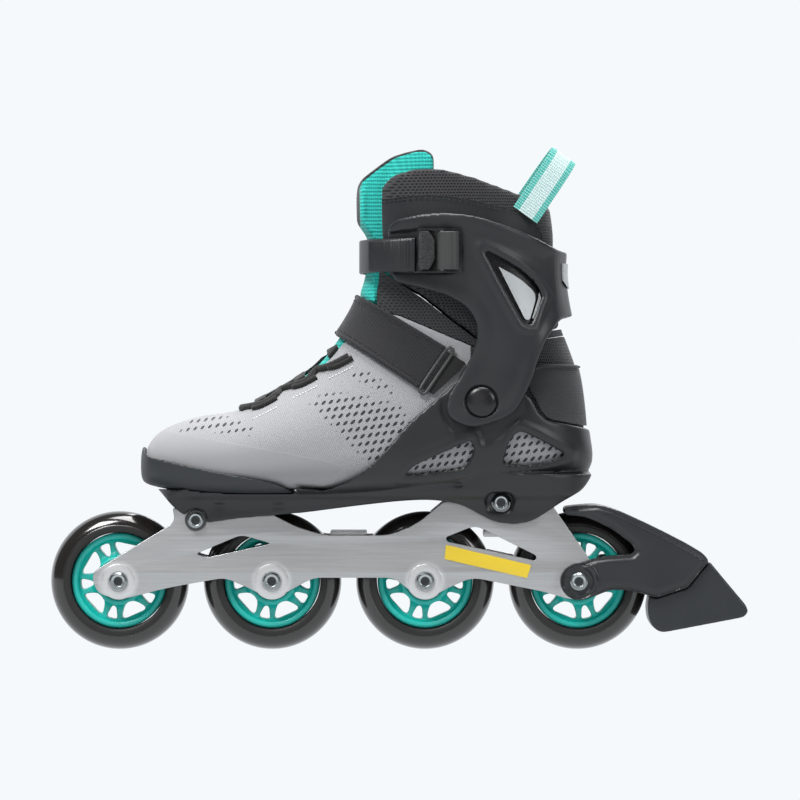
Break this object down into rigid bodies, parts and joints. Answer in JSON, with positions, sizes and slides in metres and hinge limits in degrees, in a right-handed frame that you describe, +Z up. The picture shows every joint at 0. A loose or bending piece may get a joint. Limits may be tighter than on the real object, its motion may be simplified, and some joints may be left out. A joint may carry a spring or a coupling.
{
  "type": "inline skate",
  "caption": "Inline skate with a soft boot, hinged cuff, ratchet buckle, strap, laces, metal frame, wheels in one line and a heel brake.",
  "frame": {"origin": "on the ground under the middle of the skate, at the bottom centre of its box", "axes": "+X from the toe towards the heel brake, +Y towards the inner side of the foot, +Z up; the buckle is on the -Y side"},
  "size_m": [0.403, 0.1128, 0.29],
  "materials": {
    "tyre": "glossy tread with satin sidewalls",
    "core": "satin teal",
    "steel": "satin",
    "rail": "brushed lengthwise",
    "shell": "satin black",
    "cuff": "satin charcoal",
    "bumper": "matte dark grey",
    "knit": "light grey knit",
    "liner": "black mesh",
    "tongue": "teal ribbed fabric with black binding",
    "strap": "black webbing",
    "ladder": "satin charcoal",
    "loop": "teal and white webbing",
    "brake": "satin dark grey",
    "pad": "matte dark grey",
    "silver": "satin silver",
    "label": "blank yellow"
  },
  "bodies": {
    "boot_and_frame": {"spacer_1": "steel", "axle_1": "steel", "spacer_2": "steel", "axle_2": "steel", "spacer_3": "steel", "axle_3": "steel", "spacer_4": "steel", "axle_4": "steel", "frame": "rail", "front_bolt_inner_side": "steel", "front_washer_inner_side": "steel", "rear_bolt_inner_side": "steel", "cuff_rivet_inner_side": "shell", "front_bolt_outer_side": "steel", "front_washer_outer_side": "steel", "rear_bolt_outer_side": "steel", "cuff_rivet_outer_side": "shell", "label": "label", "sole_shell": "shell", "toe_bumper": "bumper", "upper": "knit", "ankle_gusset": "liner", "heel_panel": "liner", "footbed": "liner", "tongue": "tongue", "power_strap": "strap", "strap_ring": "bumper", "strap_anchor": "strap", "lace": "strap", "brake_arm": "brake", "brake_pad": "pad", "brake_screw": "steel"},
    "wheel_1": {"tyre_1": "tyre", "core_1": "core", "bearing_1_inner_side": "steel", "bearing_1_outer_side": "steel"},
    "wheel_2": {"tyre_2": "tyre", "core_2": "core", "bearing_2_inner_side": "steel", "bearing_2_outer_side": "steel"},
    "wheel_3": {"tyre_3": "tyre", "core_3": "core", "bearing_3_inner_side": "steel", "bearing_3_outer_side": "steel"},
    "wheel_4": {"tyre_4": "tyre", "core_4": "core", "bearing_4_inner_side": "steel", "bearing_4_outer_side": "steel"},
    "cuff": {"cuff": "cuff", "collar": "liner", "cuff_insert_outer_side": "silver", "cuff_insert_inner_side": "silver", "reflector": "silver", "buckle_base": "shell", "buckle_pin": "steel", "ladder_strap": "ladder", "ladder_screw": "steel", "pull_loop": "loop"},
    "buckle_lever": {"buckle_lever": "cuff"},
    "buckle_release": {"buckle_release": "shell"}
  },
  "joints": [
    {"name": "wheel_1_spin", "type": "hinge", "parent": "boot_and_frame", "child": "wheel_1", "pos_m": [-0.1623, 0, 0.04], "axis": [0, 1, 0], "continuous": true},
    {"name": "wheel_2_spin", "type": "hinge", "parent": "boot_and_frame", "child": "wheel_2", "pos_m": [-0.0739, 0, 0.04], "axis": [0, 1, 0], "continuous": true},
    {"name": "wheel_3_spin", "type": "hinge", "parent": "boot_and_frame", "child": "wheel_3", "pos_m": [0.0145, 0, 0.04], "axis": [0, 1, 0], "continuous": true},
    {"name": "wheel_4_spin", "type": "hinge", "parent": "boot_and_frame", "child": "wheel_4", "pos_m": [0.1029, 0, 0.04], "axis": [0, 1, 0], "continuous": true},
    {"name": "cuff_flex", "type": "hinge", "parent": "boot_and_frame", "child": "cuff", "pos_m": [0.0464, 0, 0.1434], "axis": [0, -1, 0], "range_deg": [-3, 12], "stiffness_Nm_per_rad": 12, "deforming": ["tongue", "ankle_gusset"]},
    {"name": "buckle_lever_lift", "type": "hinge", "parent": "cuff", "child": "buckle_lever", "pos_m": [0.0238, -0.0552, 0.2292], "axis": [0, 0, -1], "range_deg": [0, 40], "stiffness_Nm_per_rad": 0.05},
    {"name": "buckle_release_press", "type": "hinge", "parent": "cuff", "child": "buckle_release", "pos_m": [0.019, -0.0546, 0.2292], "axis": [0, 0, -1], "range_deg": [0, 8], "stiffness_Nm_per_rad": 0.2}
  ]
}
